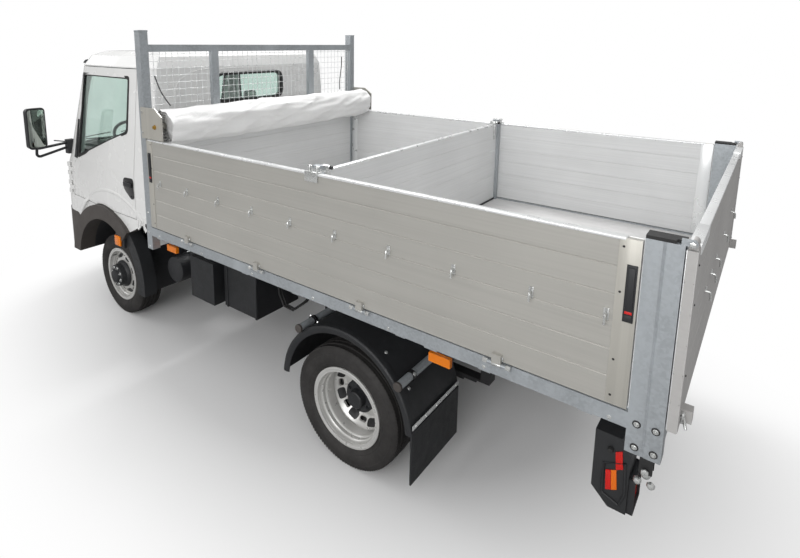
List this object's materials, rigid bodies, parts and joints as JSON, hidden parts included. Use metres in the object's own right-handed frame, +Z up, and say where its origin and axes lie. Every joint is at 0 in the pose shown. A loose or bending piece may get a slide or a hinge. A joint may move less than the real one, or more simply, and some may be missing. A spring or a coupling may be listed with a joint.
{
  "type": "tipper truck",
  "caption": "Light forward-control tipper truck with drop sides, a swinging tailgate, a mesh headboard, a cross partition and a rolled load cover.",
  "frame": {"origin": "on the ground, under the middle of the truck's overall length and width", "axes": "+X forwards, +Y to the truck's left, +Z up"},
  "size_m": [5.0498, 2.432, 2.305],
  "materials": {
    "tyre": "matt rubber",
    "rim": "silver enamel",
    "chassis": "satin black",
    "galvanised": "hot-dip galvanised, spangled",
    "board": "brushed anodised",
    "floor": "worn plate",
    "cab_paint": "gloss white",
    "black_plastic": "grained",
    "grey_plastic": "grained, unpainted",
    "glass": "lightly tinted",
    "lamp_clear": "clear lens",
    "lamp_red": "red lens",
    "lamp_amber": "amber lens",
    "rubber": "matt",
    "cover": "coated load cover",
    "seat": "woven",
    "steel": "bright steel",
    "chrome": "hard chromed"
  },
  "bodies": {
    "chassis": {"chassis_frame": "chassis", "tipper_subframe": "chassis", "axles": "chassis", "leaf_springs": "chassis", "engine_and_driveline": "chassis", "tank_and_boxes": "black_plastic", "rear_mudguards_and_flaps": "black_plastic", "mudguard_tubes": "galvanised", "underrun_and_lamp_boxes": "black_plastic", "tail_lamp_lenses": "lamp_red", "cab_roof": "cab_paint", "cab_back_wall": "cab_paint", "cab_rear_pillars": "cab_paint", "cab_front_panel": "cab_paint", "cab_glass": "glass", "headlamps": "lamp_clear", "grille": "black_plastic", "cab_floor": "black_plastic", "bumper": "grey_plastic", "arch_flares": "grey_plastic", "front_mudguards": "black_plastic", "dashboard": "black_plastic", "seats": "seat", "mirrors": "black_plastic"},
    "steering_wheel": {"steering_wheel": "black_plastic"},
    "knuckle_left": {"knuckle_left": "chassis"},
    "knuckle_right": {"knuckle_right": "chassis"},
    "wheel_front_left": {"tyre_front_left": "tyre", "rim_front_left": "rim"},
    "wheel_front_right": {"tyre_front_right": "tyre", "rim_front_right": "rim"},
    "wheels_rear_left": {"tyres_rear_left": "tyre", "rims_rear_left": "rim"},
    "wheels_rear_right": {"tyres_rear_right": "tyre", "rims_rear_right": "rim"},
    "door_left": {"door_left": "cab_paint", "door_glass_left": "glass"},
    "door_right": {"door_right": "cab_paint", "door_glass_right": "glass"},
    "bed": {"bed_floor": "floor", "bed_frame": "galvanised", "rear_posts": "galvanised", "headboard_frame": "galvanised", "headboard_board": "board", "headboard_mesh": "galvanised", "partition_board": "board", "partition_guides": "galvanised", "cover_roll": "cover", "roll_end_plates": "galvanised", "post_caps_and_feet": "rubber", "cover_straps": "rubber", "side_markers": "lamp_amber"},
    "side_left": {"side_board_left": "board"},
    "side_right": {"side_board_right": "board"},
    "tailgate": {"tailgate": "board"},
    "ram_barrel": {"ram_barrel": "chassis"},
    "ram_stage_1": {"ram_stage_1": "chrome"},
    "ram_stage_2": {"ram_stage_2": "chrome"},
    "ram_stage_3": {"ram_stage_3": "chrome"},
    "ram_stage_4": {"ram_stage_4": "chrome"}
  },
  "joints": [
    {"name": "bed_tip", "type": "hinge", "parent": "chassis", "child": "bed", "pos_m": [-2.285, 0, 0.868], "axis": [0, -1, 0], "range_deg": [0, 45]},
    {"name": "side_left_drop", "type": "hinge", "parent": "bed", "child": "side_left", "pos_m": [0, 1.089, 1.013], "axis": [-1, 0, 0], "range_deg": [0, 180]},
    {"name": "side_right_drop", "type": "hinge", "parent": "bed", "child": "side_right", "pos_m": [0, -1.089, 1.013], "axis": [1, 0, 0], "range_deg": [0, 180]},
    {"name": "tailgate_swing", "type": "hinge", "parent": "bed", "child": "tailgate", "pos_m": [-2.48, 0, 1.634], "axis": [0, 1, 0], "range_deg": [0, 90]},
    {"name": "door_left_open", "type": "hinge", "parent": "chassis", "child": "door_left", "pos_m": [2.075, 0.905, 1.2], "axis": [0, 0, -1], "range_deg": [0, 70]},
    {"name": "door_right_open", "type": "hinge", "parent": "chassis", "child": "door_right", "pos_m": [2.075, -0.905, 1.2], "axis": [0, 0, 1], "range_deg": [0, 70]},
    {"name": "steer_left", "type": "hinge", "parent": "chassis", "child": "knuckle_left", "pos_m": [1.465, 0.67, 0.335], "axis": [0, 0, 1], "range_deg": [-32, 32]},
    {"name": "steer_right", "type": "hinge", "parent": "chassis", "child": "knuckle_right", "pos_m": [1.465, -0.67, 0.335], "axis": [0, 0, 1], "range_deg": [-32, 32]},
    {"name": "steering_wheel_turn", "type": "hinge", "parent": "chassis", "child": "steering_wheel", "pos_m": [1.795, 0.42, 1.4], "axis": [-0.6428, 0, 0.766], "range_deg": [-512, 512]},
    {"name": "wheel_front_left_spin", "type": "hinge", "parent": "knuckle_left", "child": "wheel_front_left", "pos_m": [1.465, 0.745, 0.335], "axis": [0, 1, 0], "continuous": true},
    {"name": "wheel_front_right_spin", "type": "hinge", "parent": "knuckle_right", "child": "wheel_front_right", "pos_m": [1.465, -0.745, 0.335], "axis": [0, 1, 0], "continuous": true},
    {"name": "wheels_rear_left_spin", "type": "hinge", "parent": "chassis", "child": "wheels_rear_left", "pos_m": [-1.035, 0.865, 0.335], "axis": [0, 1, 0], "continuous": true},
    {"name": "wheels_rear_right_spin", "type": "hinge", "parent": "chassis", "child": "wheels_rear_right", "pos_m": [-1.035, -0.865, 0.335], "axis": [0, 1, 0], "continuous": true},
    {"name": "ram_tilt", "type": "hinge", "parent": "chassis", "child": "ram_barrel", "pos_m": [-0.585, 0, 0.7], "axis": [0, -1, 0], "range_deg": [0, 20.94]},
    {"name": "ram_slide_1", "type": "slide", "parent": "ram_barrel", "child": "ram_stage_1", "axis": [0, 0, 1], "range_m": [0, 0.3216]},
    {"name": "ram_slide_2", "type": "slide", "parent": "ram_stage_1", "child": "ram_stage_2", "axis": [0, 0, 1], "range_m": [0, 0.3216]},
    {"name": "ram_slide_3", "type": "slide", "parent": "ram_stage_2", "child": "ram_stage_3", "axis": [0, 0, 1], "range_m": [0, 0.3216]},
    {"name": "ram_slide_4", "type": "slide", "parent": "ram_stage_3", "child": "ram_stage_4", "axis": [0, 0, 1], "range_m": [0, 0.3216]}
  ],
  "couplings": [
    {"joint": "steer_right", "follows": "steer_left", "ratio": 1},
    {"joint": "steering_wheel_turn", "follows": "steer_left", "ratio": 16},
    {"joint": "ram_tilt", "follows": "bed_tip", "ratio": 0.46417},
    {"joint": "ram_slide_1", "follows": "bed_tip", "m_per_rad": 0.4089},
    {"joint": "ram_slide_2", "follows": "bed_tip", "m_per_rad": 0.4089},
    {"joint": "ram_slide_3", "follows": "bed_tip", "m_per_rad": 0.4089},
    {"joint": "ram_slide_4", "follows": "bed_tip", "m_per_rad": 0.4089}
  ]
}
